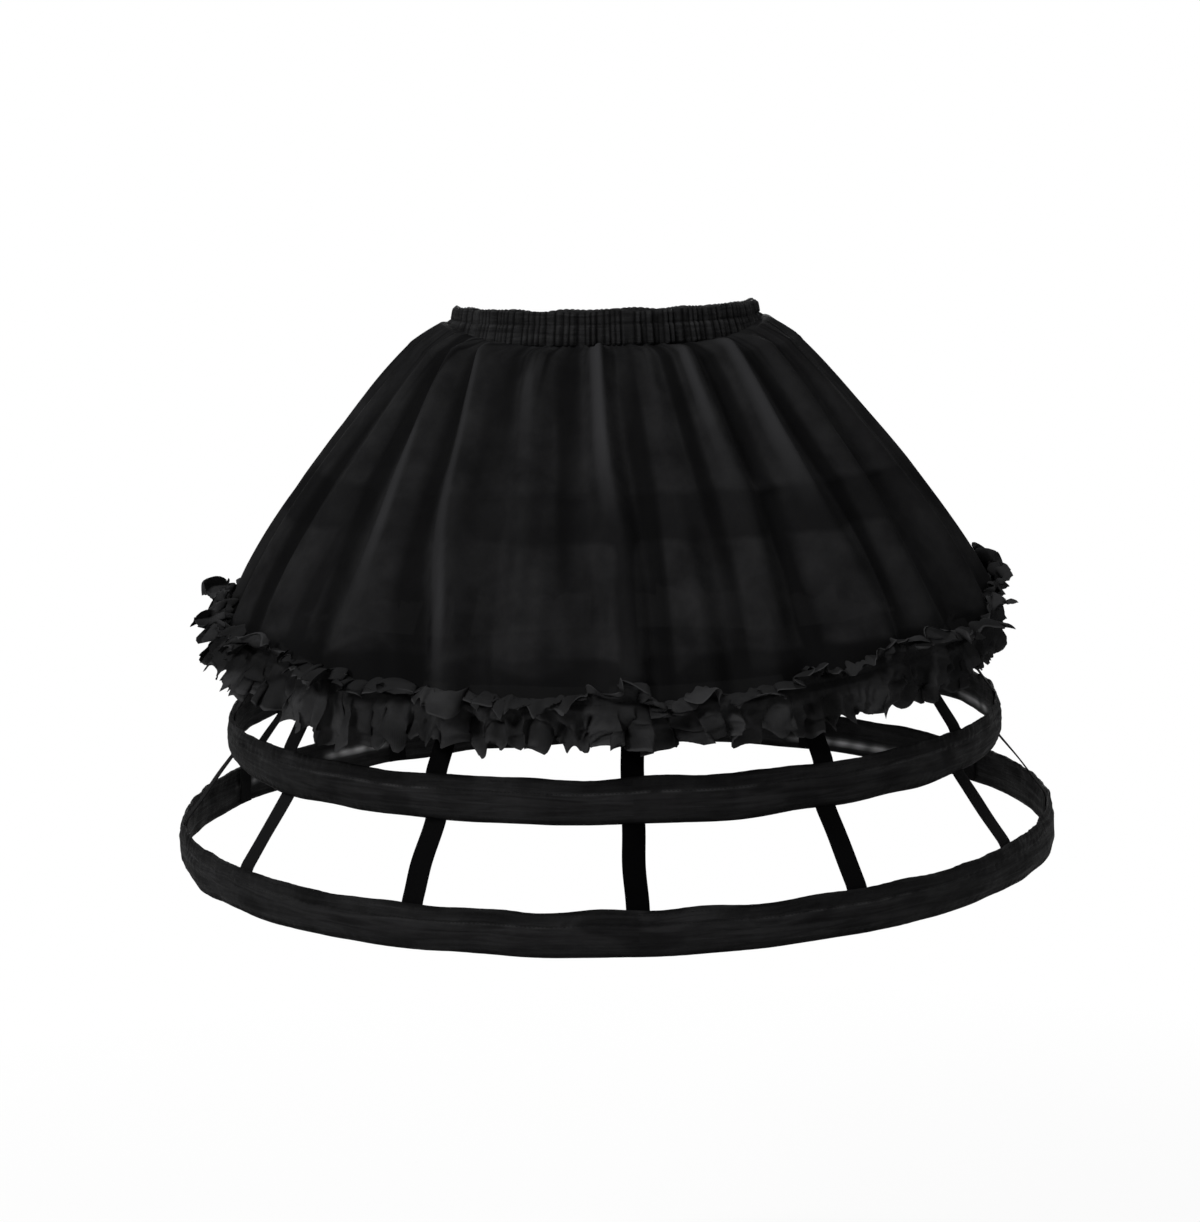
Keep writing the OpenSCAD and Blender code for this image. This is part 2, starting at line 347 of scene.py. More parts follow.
def black_cotton(name, dark, bright, pitch, patch, sheen):
    """Matt woven cotton with a faint bloom, darkened by painted shade and lit by painted highlights where
    marked.
    """
    material, tree, shader = new_material(name)
    weave = use_group(tree, PLAIN_WEAVE, Pitch=pitch)
    mottle = use_group(tree, CLOTH_MOTTLE, Size=patch)
    creases = use_group(tree, LONG_CREASES)
    grain = calc(tree, "ADD", weave.outputs["Height"], mottle.outputs["Tone"])
    tone = calc(tree, "MULTIPLY_ADD", creases.outputs["Tone"], 0.5, calc(tree, "MULTIPLY", grain, 0.25))
    # Painted shade where the cloth is marked dark, and painted highlights where it is marked light.
    colour = recolour(tree, tint(tree, tone, dark, bright), marked(tree, "painted_shade"), COTTON_SHADE_BLACK)
    colour = recolour(tree, colour, marked(tree, "painted_light"), COTTON_HIGHLIGHT_GREY)
    tree.links.new(colour, shader.inputs["Base Color"])
    tree.links.new(spread(tree, tone, 0.8, 0.42), shader.inputs["Roughness"])
    shader.inputs["Specular IOR Level"].default_value = 0.02
    shader.inputs["Sheen Weight"].default_value = sheen
    shader.inputs["Sheen Roughness"].default_value = 0.45
    shader.inputs["Sheen Tint"].default_value = (0.5, 0.5, 0.52, 1)
    relief = calc(tree, "MULTIPLY_ADD", creases.outputs["Tone"], 4.0, weave.outputs["Height"])
    bumped(tree, shader, relief, COTTON_RELIEF, 0.8)
    return material


def stitch_mesh(name, runs):
    """Short rounded thread stitches along runs of points with outward directions."""
    ends = np.array([0.0, 0.25, 0.75, 1.0])
    swell = np.array([0.15, 1.0, 1.0, 0.15])
    corner = np.array([0.25, 0.75, 1.25, 1.75]) * math.pi
    rings, sides = len(ends), len(corner)
    points, faces = [], []
    for start, finish, out in runs:
        along = finish - start
        side = np.cross(along / np.linalg.norm(along), out)
        base = len(points)
        for share, fat in zip(ends, swell):
            for turn in corner:
                reach = STITCH_THICK * fat * (math.cos(turn) * side * 0.5 + math.sin(turn) * out * 0.5)
                points.append(start + share * along + reach)
        for k in range(rings - 1):
            for s in range(sides):
                n = (s + 1) % sides
                low, high = base + k * sides, base + (k + 1) * sides
                faces.append((low + s, low + n, high + n, high + s))
        faces.append(tuple(base + s for s in reversed(range(sides))))
        faces.append(tuple(base + (rings - 1) * sides + s for s in range(sides)))
    mesh = bpy.data.meshes.new(name)
    mesh.from_pydata([tuple(p) for p in points], [], faces)
    mesh.polygons.foreach_set("use_smooth", np.ones(len(faces), bool))
    mesh.update()
    return mesh


def ring_stitches(line, lift, length=STITCH_LENGTH, fill=0.72):
    """Stitches along a closed line of points, set just proud of the cloth on its outer side."""
    closed = np.concatenate([line, line[:1]])
    run = np.concatenate([[0], np.cumsum(np.linalg.norm(np.diff(closed, axis=0), axis=1))])
    count = int(run[-1] / length)

    def at(distance):
        return np.array([np.interp(distance, run, closed[:, k]) for k in range(3)])

    runs = []
    for k in range(count):
        start, finish = at(k * run[-1] / count), at((k + fill) * run[-1] / count)
        out = (start + finish) / 2 * np.array([1, 1, 0])
        out /= np.linalg.norm(out)
        runs.append((start + lift * out, finish + lift * out, out))
    return runs


hoop_cotton = black_cotton(
    "hoop_cotton", COTTON_BLACK, COTTON_GREY, pitch=HOOP_WEAVE, patch=0.022, sheen=0.004
)
thread_black = black_cotton(
    "thread_black", THREAD_BLACK, THREAD_GREY, pitch=THREAD_WEAVE, patch=0.01, sheen=0.006
)


def casing_rows():
    """Heights up the outer face and down the inner one, and the side that each row faces."""
    outer = np.sort(np.append(np.linspace(0, 1, OUTER_ROWS), UPPER_SEAM_ROWS))
    inner = np.linspace(1, 0, INNER_ROWS)[1:-1]
    share = np.concatenate([outer, inner])[:, None]
    face = np.concatenate([np.ones(len(outer)), -np.ones(len(inner))])[:, None]
    return outer, share, face


def casing_grid(hoop, angle, share, face):
    """Two plies with the tunnel's ridge, puckers at the seams and wrinkles where they are loose."""
    low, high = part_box(f"hoop_{hoop}_casing")
    radius = high[0]
    ridge = 1 - smooth(np.abs(share - BONE_RISE), TUNNEL_HALF * TUNNEL_FLAT, TUNNEL_HALF)
    at_back = 1 - smooth(np.abs(angle - math.pi) * radius, JOINER_ROOM, JOINER_ROOM + JOINER_EASE)
    crown = (RIDGE_OUT + JOINER_LIFT * at_back) * ridge
    edge = PLY_EDGE * np.clip(1 - (np.abs(share - 0.5) * 2) ** EDGE_SQUARE, 0, 1)
    ply = face * (edge + crown * np.where(face > 0, 1, INNER_RIDGE))
    wave_top = TOP_WAVE * chance_waves(angle, 0, 10 + hoop, 9, 4, 30, 0)
    wave_foot = FOOT_WAVE * chance_waves(angle, 0, 20 + hoop, 9, 4, 26, 0)
    lean = BAND_LEAN * chance_waves(angle, 0, 30 + hoop, 6, 2, 11, 0)
    wrinkle = chance_waves(angle, share, 40 + hoop, 16, 18, 75, 9)
    crease = chance_waves(angle, share, 50 + hoop, 12, 50, 150, 16)
    loose = 0.35 + 0.65 * smooth(share, BONE_RISE, 0.85)
    soft = (WRINKLE * wrinkle + CREASE * np.abs(crease)) * loose
    soft = np.maximum(soft, -SINK_ON_BONE - (1 - ridge) * SINK_BESIDE)
    pucker = np.zeros_like(share)
    pinch = np.zeros_like(share)
    for seam in SEAM_HEIGHTS:
        pucker = np.maximum(pucker, np.exp(-((share - seam) / 0.05) ** 2))
        pinch += SEAM_PINCH * np.exp(-((share - seam) / 0.018) ** 2)
    gather = SEAM_PUCKER * pucker * chance_waves(angle, share, 60 + hoop, 8, 220, 330, 2)
    tuck = HEADER_TUCK * smooth(share, 0.68, 1.0) + FOOT_TUCK * smooth(-share, -0.16, 0)
    middle = radius - RIDGE_OUT - PLY_EDGE
    r = middle + ply + (gather - pinch) * (face > 0) + soft + lean * (share - 0.5) * 2 - tuck
    z = low[2] + share * (high[2] - low[2]) + wave_top * share ** 2 + wave_foot * (1 - share) ** 2
    return on_ring(angle, r, z)


def casing_marks(hoop, angle, share, face):
    """Painted highlights inside at the back and on the fold, painted shade at foot, header and rim, and
    dark patches.
    """
    painted_highlights = np.zeros(np.broadcast(angle, share).shape)
    # Painted highlight streaks inside the band at the back.
    for middle_at, half, rise in HIGHLIGHT_STREAKS_AT[hoop]:
        away = np.abs((angle - math.radians(middle_at) + math.pi) % TURN - math.pi)
        line = 1 - smooth(away, math.radians(half) - 0.05, math.radians(half) + 0.02)
        painted_highlights = np.maximum(painted_highlights, line * np.exp(-((share - rise) / 0.07) ** 2) * (face < 0))
    uneven = np.clip(0.75 + 0.3 * chance_waves(angle, 4 * share, 65 + hoop, 8, 40, 120, 2), 0, 1)
    patchy = np.clip(0.55 + 0.5 * chance_waves(angle, 3 * share, 66 + hoop, 9, 8, 50, 2), 0, 1)
    broad = np.clip(0.5 + 0.6 * chance_waves(angle, 0, 68 + hoop, 7, 2, 14, 0), 0, 1)
    # A painted highlight along the header's fold.
    fold = np.exp(-((share - FOLD_HEIGHT) / 0.022) ** 2) * (face > 0) * broad
    # Painted shade at the foot, on the header and along the top rim, joined by uneven dark patches.
    foot = (1 - smooth(share, 0.03, 0.15)) * (0.55 + 0.45 * patchy)
    header = 0.6 * broad * smooth(share, 0.70, 0.76)
    patches = 0.5 * smooth(chance_waves(angle, 5 * share, 67 + hoop, 9, 5, 36, 2), 0.6, 1.6)
    rim = smooth(share, 0.88, 0.98) * patchy
    dark = np.maximum(np.maximum(foot, header), np.maximum(patches, rim))
    return (painted_highlights + HEADER_FOLD_HIGHLIGHT * fold) * uneven, dark


for hoop in HOOPS:
    grain = HOOP_GRAIN if hoop < HIDDEN_FROM else HIDDEN_GRAIN
    angle = around(int(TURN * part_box(f"hoop_{hoop}_casing")[1][0] / grain))[None, :]
    outer, share, face = casing_rows()
    grid = casing_grid(hoop, angle, share, face)
    painted_highlights, dark = casing_marks(hoop, angle, share, face)
    name = f"hoop_{hoop}_band"
    mesh = cloth_mesh(name, grid, across_closed=True)
    # The band's painted highlights and painted shade.
    mark_cloth(mesh, "painted_light", painted_highlights)
    mark_cloth(mesh, "painted_shade", dark)
    band = add_piece(name, mesh, hoop_cotton)
    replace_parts(band, f"hoop_{hoop}_casing")
    rows = [grid[np.abs(outer - seam).argmin()] for seam in SEAM_HEIGHTS[1:]]
    runs = [stitch for row in rows for stitch in ring_stitches(row, STITCH_PROUD)]
    name = f"hoop_{hoop}_stitches"
    add_piece(name, stitch_mesh(name, runs), thread_black)

# Tapes: flat ribbed ribbon, cut in twelve lengths, caught in the waist seam and sewn to the inner
# face of each hoop. They hang straight and taut, with a slight twist of their own.
TAPES = 12
TAPE_WIDTH = 16 * MM
TAPE_THICK = 0.8 * MM
TAPE_STEPS = 180
FRONT_DRAW = math.radians(6)
RIB_PITCH = 0.9 * MM
RIB_DEEP = 0.15 * MM
FACE_POINTS = 9
HOOP_INSET = 5.0 * MM
SEAM_EASE = 0.3 * MM
SEAM_HANG = 3 * MM
HELD_BELOW_TOP = 1 * MM
HELD_ABOVE_FOOT = 1.5 * MM
FREE_WITHIN = 25 * MM
DIP_FADES = 60 * MM
TAPE_CUP = 0.25 * MM
TAPE_BOW = 1.2 * MM
TAPE_BELLY = 0.9 * MM
TAPE_TWIST = 0.05
RIBBON_BLACK = (0.0004, 0.0004, 0.0005)
RIBBON_GREY = (0.0009, 0.0009, 0.0010)
# Painted light: tapes turned towards the sides are coloured greyer, as if lit from the side.
SIDE_LIGHT_GREY = (0.0062, 0.0062, 0.0064)
SIDE_LIGHT_FROM = 0.35
SIDE_LIGHT_OVER = 0.5
BACK_DIP = 11 * MM


def grosgrain(name):
    """Black ribbed ribbon with fine cross ribs, greyed by painted light where it is marked."""
    material, tree, shader = new_material(name)
    at = place(tree, "ShaderNodeSeparateXYZ", Vector=tree.nodes.new("ShaderNodeUVMap").outputs[0])
    count = calc(tree, "MULTIPLY", at.outputs["X"], math.pi / RIB_PITCH)
    rib = calc(tree, "ABSOLUTE", calc(tree, "SINE", count))
    mottle = use_group(tree, CLOTH_MOTTLE, Size=0.02)
    tone = calc(tree, "MULTIPLY_ADD", rib, 0.5, calc(tree, "MULTIPLY", mottle.outputs["Tone"], 0.5))
    colour = tint(tree, tone, RIBBON_BLACK, RIBBON_GREY)
    colour = recolour(tree, colour, marked(tree, "painted_light"), SIDE_LIGHT_GREY)
    tree.links.new(colour, shader.inputs["Base Color"])
    tree.links.new(spread(tree, tone, 0.72, 0.55), shader.inputs["Roughness"])
    shader.inputs["Specular IOR Level"].default_value = 0.004
    bumped(tree, shader, rib, RIB_DEEP)
    return material


def waist_dip(angle):
    """How far the waist drops towards the back."""
    return -BACK_DIP * smooth(-np.cos(angle), 0.0, 1.0)


def tape_line():
    """Radius and height along a tape's outer face, from the waist seam down to the bottom hoop."""
    band_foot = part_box("waistband_casing")[0][2]
    tape_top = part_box("tape_01")[1]
    seam_r = -tape_top[1] + TAPE_THICK
    line = [(seam_r, tape_top[2]), (seam_r + SEAM_EASE, band_foot - SEAM_HANG)]
    for hoop in reversed(HOOPS):
        low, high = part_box(f"hoop_{hoop}_casing")
        inside = high[0] - HOOP_INSET
        line += [(inside, high[2] - HELD_BELOW_TOP), (inside, low[2] + HELD_ABOVE_FOOT)]
    return np.array(line)


def tape_turn(number):
    """A tape's angle: the tapes at the sides are drawn round a little towards the front."""
    turn = TURN / TAPES * number
    return turn - FRONT_DRAW * math.sin(turn)


def tape_grid(number):
    """A flat ribbon that bows, bellies and twists a little where no hoop holds it."""
    line = tape_line()
    run = np.concatenate([[0], np.cumsum(np.linalg.norm(np.diff(line, axis=0), axis=1))])
    step = np.linspace(0, run[-1], TAPE_STEPS)
    r, z = (np.interp(step, run, line[:, k]) for k in range(2))
    soften = np.array([1, 2, 3, 2, 1]) / 9
    for k in (r, z):
        k[2:-2] = np.convolve(k, soften, "valid")
    turn = tape_turn(number)
    held = np.min(np.abs(z[:, None] - line[None, 1:, 1]), axis=1)
    free = smooth(held, 0, FREE_WITHIN)[None, :]
    phase = np.random.default_rng(300 + number).uniform(0, TURN, 3)
    share = step / run[-1]
    z = z + waist_dip(turn) * (1 - smooth(step, 0, DIP_FADES))
    twist = TAPE_TWIST * np.sin(TURN * 3 * share + phase[0]) * free
    bow = TAPE_BOW * np.sin(TURN * 2.5 * share + phase[1]) * free
    belly = TAPE_BELLY * np.sin(TURN * 4 * share + phase[2]) * free
    half = TAPE_WIDTH / 2
    across = np.concatenate([np.linspace(-1, 1, FACE_POINTS), np.linspace(1, -1, FACE_POINTS)])[:, None]
    face = np.repeat([0.0, 1.0], FACE_POINTS)[:, None]
    tangent = across * half + bow
    radial = r[None, :] - face * TAPE_THICK + belly - TAPE_CUP * across ** 2 + twist * across * half
    side = np.array([math.cos(turn), math.sin(turn), 0])
    out = np.array([math.sin(turn), -math.cos(turn), 0])
    up = np.array([0, 0, 1])
    return tangent[..., None] * side + radial[..., None] * out + z[None, :, None] * up


ribbon_black = grosgrain("ribbon_black")
for number in range(TAPES):
    name = f"tape_{number + 1:02d}_ribbon"
    grid = tape_grid(number)
    mesh = cloth_mesh(name, grid, across_closed=True, along_closed=False)
    # Painted light, stronger the more a tape turns to the side.
    side_light = np.clip((abs(math.sin(tape_turn(number))) - SIDE_LIGHT_FROM) / SIDE_LIGHT_OVER, 0, 1)
    mark_cloth(mesh, "painted_light", np.full(grid.shape[:2], side_light))
    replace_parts(add_piece(name, mesh, ribbon_black), f"tape_{number + 1:02d}")

# Waist elastic: flat woven elastic in the tunnel of the waistband, covered rubber cords side by
# side under a black yarn, so it shows fine ribs along its length. Its back sits a little lower.
ELASTIC_RIB = 1.4 * MM
ELASTIC_RIB_DEEP = 0.3 * MM
ELASTIC_THICK = 1.2 * MM
ELASTIC_COLUMNS = 240
ELASTIC_BLACK = (0.004, 0.004, 0.0042)
ELASTIC_GREY = (0.015, 0.015, 0.0155)


def ribbed_elastic(name):
    """Matt yarn over rubber cords that lie side by side."""
    material, tree, shader = new_material(name)
    at = place(tree, "ShaderNodeSeparateXYZ", Vector=tree.nodes.new("ShaderNodeUVMap").outputs[0])
    count = calc(tree, "MULTIPLY", at.outputs["Y"], math.pi / ELASTIC_RIB)
    rib = calc(tree, "ABSOLUTE", calc(tree, "SINE", count))
    tree.links.new(tint(tree, rib, ELASTIC_BLACK, ELASTIC_GREY), shader.inputs["Base Color"])
    shader.inputs["Roughness"].default_value = 0.7
    bumped(tree, shader, rib, ELASTIC_RIB_DEEP)
    return material


def elastic_grid():
    """A flat band of rectangular section."""
    low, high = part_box("waist_elastic")
    angle = around(ELASTIC_COLUMNS)[None, :]
    height = np.array([low[2], high[2], high[2], low[2]])[:, None]
    radius = high[0] - np.array([0, 0, ELASTIC_THICK, ELASTIC_THICK])[:, None]
    return on_ring(angle, radius, height + waist_dip(angle))


elastic_mesh = cloth_mesh("waist_elastic_band", elastic_grid(), across_closed=True)
elastic_band = add_piece("waist_elastic_band", elastic_mesh, ribbed_elastic("elastic_weave"))
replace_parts(elastic_band, "waist_elastic")

# Waistband: a tunnel of black cotton shirred by the elastic inside it, so it stands in fine
# upright gathers, pinched by one row of stitches under a narrow header.
GATHERS = 138
BAND_COLUMNS = GATHERS * 8
BAND_OUTER_ROWS = 30
BAND_INNER_ROWS = 16
BAND_STITCH = 0.61
BAND_STITCH_LENGTH = 2.6 * MM
BAND_STITCH_PROUD = 0.1 * MM
BAND_FLARE = 3.0 * MM
SIDE_FLARE = 4.5 * MM
BAND_WALL = 2.5 * MM
LINING_WALL = 0.2 * MM
RIM_WALL = 2.0 * MM
GATHER_OUT = 3.0 * MM
HEADER_GATHER_OUT = 2.0 * MM
TUNNEL_SWELL = 0.5 * MM
HEADER_SWELL = 0.3 * MM
STITCH_SINK = 0.15 * MM
LINING_PLEAT = 0.6 * MM
SCALLOP = 0.55 * MM
RIM_WAVE = 0.5 * MM
BAND_BLACK = (0.0018, 0.0018, 0.0019)
BAND_GREY = (0.0180, 0.0180, 0.0186)
WAIST_RADIUS = frame["record"]["mounts"][0]["dims"]["r_mm"] * MM


def waistband_grid():
    """The tunnel's gathered outside and its smoother lining, with painted shade between the gathers."""
    low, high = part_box("waistband_casing")
    angle = around(BAND_COLUMNS)[None, :]
    outer = np.linspace(0, 1, BAND_OUTER_ROWS)
    inner = np.linspace(1, 0, BAND_INNER_ROWS)[1:-1]
    share = np.concatenate([outer, inner])[:, None]
    outside = np.concatenate([np.ones(len(outer)), np.zeros(len(inner))])[:, None]
    uneven = 0.9 * chance_waves(angle, share, 71, 7, 9, 40, 0.6)
    puff = np.abs(np.sin(GATHERS / 2 * angle + uneven))
    fine = np.abs(np.sin(GATHERS * angle + 1.7 * uneven + 0.8))
    full = np.clip(0.8 + 0.42 * chance_waves(angle, share, 72, 8, 20, 70, 1.5), 0.1, 1.7)
    pinch = np.exp(-((share - BAND_STITCH) / 0.022) ** 2)
    header = smooth(share, BAND_STITCH, BAND_STITCH + 0.05)
    depth = (GATHER_OUT + (HEADER_GATHER_OUT - GATHER_OUT) * header) * (1 - 0.6 * pinch)
    in_header = np.clip((share - BAND_STITCH) / (1 - BAND_STITCH), 0, 1)
    swell = TUNNEL_SWELL * np.sin(np.pi * np.clip(share / BAND_STITCH, 0, 1))
    swell = swell + HEADER_SWELL * np.sin(np.pi * in_header)
    flare = (BAND_FLARE + SIDE_FLARE * np.sin(angle) ** 2) * (1 - share) ** 1.5
    skin = WAIST_RADIUS + BAND_WALL + flare + swell - STITCH_SINK * pinch
    skin = skin + depth * full * (0.8 * puff + 0.2 * fine)
    lining = WAIST_RADIUS + LINING_WALL + flare * 0.25 + LINING_PLEAT * (1 - puff) * (1 - 0.8 * pinch)
    r = outside * skin + (1 - outside) * lining
    rim = smooth(np.abs(share - 0.5), 0.42, 0.5)
    r = r + rim * (WAIST_RADIUS + RIM_WALL + flare - r) * 0.55
    scallop = SCALLOP * (puff - 0.5) + RIM_WAVE * chance_waves(angle, 0, 73, 8, 4, 26, 0)
    z = low[2] + share * (high[2] - low[2]) + scallop * smooth(share, 0.7, 1) + waist_dip(angle)
    # Painted shade in the dips between the gathers.
    painted_shade = outside * (1 - smooth(puff, 0.15, 0.7))
    return on_ring(angle, r, z), outer, painted_shade


band_cotton = black_cotton("band_cotton", BAND_BLACK, BAND_GREY, HOOP_WEAVE, patch=0.012, sheen=0.004)
grid, outer, painted_shade = waistband_grid()
mesh = cloth_mesh("waistband", grid, across_closed=True)
mark_cloth(mesh, "painted_shade", painted_shade)
waistband = add_piece("waistband", mesh, band_cotton)
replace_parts(waistband, "waistband_casing")
stitched = grid[np.abs(outer - BAND_STITCH).argmin()]
runs = ring_stitches(stitched, BAND_STITCH_PROUD, BAND_STITCH_LENGTH)
add_piece("waistband_stitches", stitch_mesh("waistband_stitches", runs), thread_black)

# Overskirt: flared panels of black organza, gathered into the waist seam and falling in uneven
# folds over the top hoop. It is one crisp layer, so close and dark that the cage behind it shows
# only as darker bands, painted as shadow in its colour. Painted highlights lie on some fold
# crests, and painted shade lies in the valleys, in the tucks under the seam and above the frill.
# A fold is named by its place at the hem, in degrees from the front.
SKIRT_COLUMNS = 640
SKIRT_ROWS = 130
SEAM_ROWS = 6
SHOULDER_ROWS = 22
SEAM_OUT = 4 * MM
SEAM_RISE = 3 * MM
NECK_OUT = 6.5 * MM
NECK_DROP = 0.6 * MM
SHOULDER_OUT = 36.1 * MM
SHOULDER_DROP = 5.5 * MM
SHOULDER_EASE = 16 * MM
HEM_TURN = 3.3 * MM
BELL_OUT = 36 * MM
BELL_RISE = 18 * MM
SIDE_RISE = 14 * MM
SIDE_RISE_ENDS = 40 * MM
SIDE_RISE_OVER = 26 * MM
REST_GAP = 1.6 * MM
REST_SLOPE = 2.4
REST_EASE = 2.2 * MM
TAPE_ROOM = 2.5 * MM
SIDE_LIFT = 9 * MM
FRONT_DROP = 11 * MM
FRONT_FOLDS = (-78, -59, -39, -23, -13, -1, 10, 20, 36, 52, 67, 82)
FRONT_FOLDS_AT_WAIST = (-78, -65, -56, -47, -27, -5, 9, 20, 34, 51, 67, 82)
BACK_FOLDS = (97, 110, 126, 139, 152, 168, 181, 196, 209, 225, 238, 253, 267)
FOLD_DEPTH = 15.0 * MM
PLAIN_FOLD = 0.9
STRONG_FOLDS = {-39: 1.15, -23: 1.3, -1: 1.3, 20: 1.2, 36: 1.25}
# A painted highlight streak begins and ends at shares of the skirt's drop, and has a brightness.
HIGHLIGHT_STREAKS = {
    -39: (0.30, 0.85, 0.75), -23: (0.05, 1.0, 0.95), -13: (0.12, 0.45, 0.45), -1: (0.03, 0.6, 1.0),
    10: (0.08, 0.35, 0.4), 20: (0.06, 0.5, 0.8), 36: (0.05, 0.6, 0.8), 126: (0.05, 0.5, 0.6),
    152: (0.1, 0.6, 0.7), 196: (0.05, 0.5, 0.8), 225: (0.08, 0.55, 0.6),
}
NO_HIGHLIGHT_STREAK = (0.1, 0.4, 0.0)
HIGHLIGHT_OFFSET = 0.45
FOLD_WANDER = 0.75
SECOND_FOLD = 0.14
SIDE_CALM = 0.3
# How dark the painted shadow above the frill and the painted shade under the waist seam are.
HEM_SHADOW = 0.62
TUCK_SHADE = 0.85
FRONT_AND_SIDES = -0.35
SHIRR_OUT = 2.2 * MM
CRUMPLE_OUT = 0.2 * MM
PULLED_IN = 0.5 * MM
ORGANZA_PITCH = 0.42 * MM
ORGANZA_BLACK = (0.0042, 0.0042, 0.0044)
ORGANZA_GREY = (0.0128, 0.0128, 0.0132)
# Painted shade and painted highlight colours on the organza.
PAINTED_SHADE_BLACK = (0.0024, 0.0024, 0.0025)
PAINTED_HIGHLIGHT_GREY = (0.019, 0.019, 0.020)
ORGANZA_RELIEF = 0.05 * MM
# The hoops whose painted shadow shows through, and how much lower than the hoop its dark band lies.
SHOWN_THROUGH = ((3, 8 * MM), (4, -3 * MM))
SHADOW_DARK = 0.72
SHADOW_EDGE = 2 * MM
SHADOW_RAGGED = 9 * MM
TAPE_SHADOW_HALF = 8 * MM
TAPE_SHADOW_RADIUS = 0.25
TAPES_SHOW_FROM = -0.07
TAPES_SHOW_FULL = -0.13
OPEN_SHARE = 0.002
ROLL_INNER = 1.6 * MM
ROLL_OUTER = 0.9 * MM
ROLL_PALE = 0.8


def curve_through(start, pull, finish, share):
    """Quadratic curve between two points, drawn towards a third."""
    share = share[:, None]
    return (1 - share) ** 2 * start + 2 * share * (1 - share) * pull + share ** 2 * finish


def skirt_profile():
    """Radius and height down the skirt, its outward direction, and the share of the drop."""
    low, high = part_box("overskirt")
    band_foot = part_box("waistband_casing")[0][2]
    top_low, top_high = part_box("hoop_4_casing")
    seam = np.array([WAIST_RADIUS + SEAM_OUT, band_foot + SEAM_RISE])
    neck = np.array([WAIST_RADIUS + NECK_OUT, band_foot - NECK_DROP])
    shoulder = np.array([WAIST_RADIUS + SHOULDER_OUT, band_foot - SHOULDER_DROP])
    hem = np.array([high[0], low[2] + HEM_TURN])
    pull = np.array([top_high[0] + BELL_OUT, top_low[2] + BELL_RISE])
    lift = np.array([shoulder[0] - SHOULDER_EASE, neck[1] - NECK_DROP])
    fall_rows = SKIRT_ROWS - SEAM_ROWS - SHOULDER_ROWS + 2
    parts = [
        np.linspace(seam, neck, SEAM_ROWS)[:-1],
        curve_through(neck, lift, shoulder, np.linspace(0, 1, SHOULDER_ROWS))[:-1],
        curve_through(shoulder, pull, hem, np.linspace(0, 1, fall_rows)),
    ]
    line = np.concatenate(parts)
    run = np.gradient(line, axis=0)
    out = np.stack([-run[:, 1], run[:, 0]], -1) / np.linalg.norm(run, axis=1)[:, None]
    length = np.concatenate([[0], np.cumsum(np.linalg.norm(np.diff(line, axis=0), axis=1))])
    return line, out, length / length[-1]


def fold_phase(angle, lowered):
    """A phase that grows by a turn from fold to fold, with each fold's strength and painted highlight
    streak.
    """
    start = np.radians(np.array(FRONT_FOLDS_AT_WAIST + BACK_FOLDS, float))
    finish = np.radians(np.array(FRONT_FOLDS + BACK_FOLDS, float))
    turned = (angle[0] - start[0]) % TURN + start[0]
    strength = np.array([STRONG_FOLDS.get(f, PLAIN_FOLD) for f in FRONT_FOLDS + BACK_FOLDS])
    rows = []
    for share in lowered[:, 0]:
        folds = start * (1 - share) + finish * share
        marks = np.append(folds, folds[0] + TURN)
        rows.append(np.interp(turned, marks, np.arange(len(marks))))
    count = np.array(rows)
    nearest = np.round(count).astype(int) % len(strength)
    streaks = np.array([HIGHLIGHT_STREAKS.get(f, NO_HIGHLIGHT_STREAK) for f in FRONT_FOLDS + BACK_FOLDS])
    return TURN * count, strength[nearest], streaks[nearest]


def hem_sway(angle):
    """The hem hangs lower at the front and is drawn up at the sides."""
    return SIDE_LIFT * np.sin(angle) ** 2 - FRONT_DROP * np.clip(np.cos(angle), 0, 1) ** 2


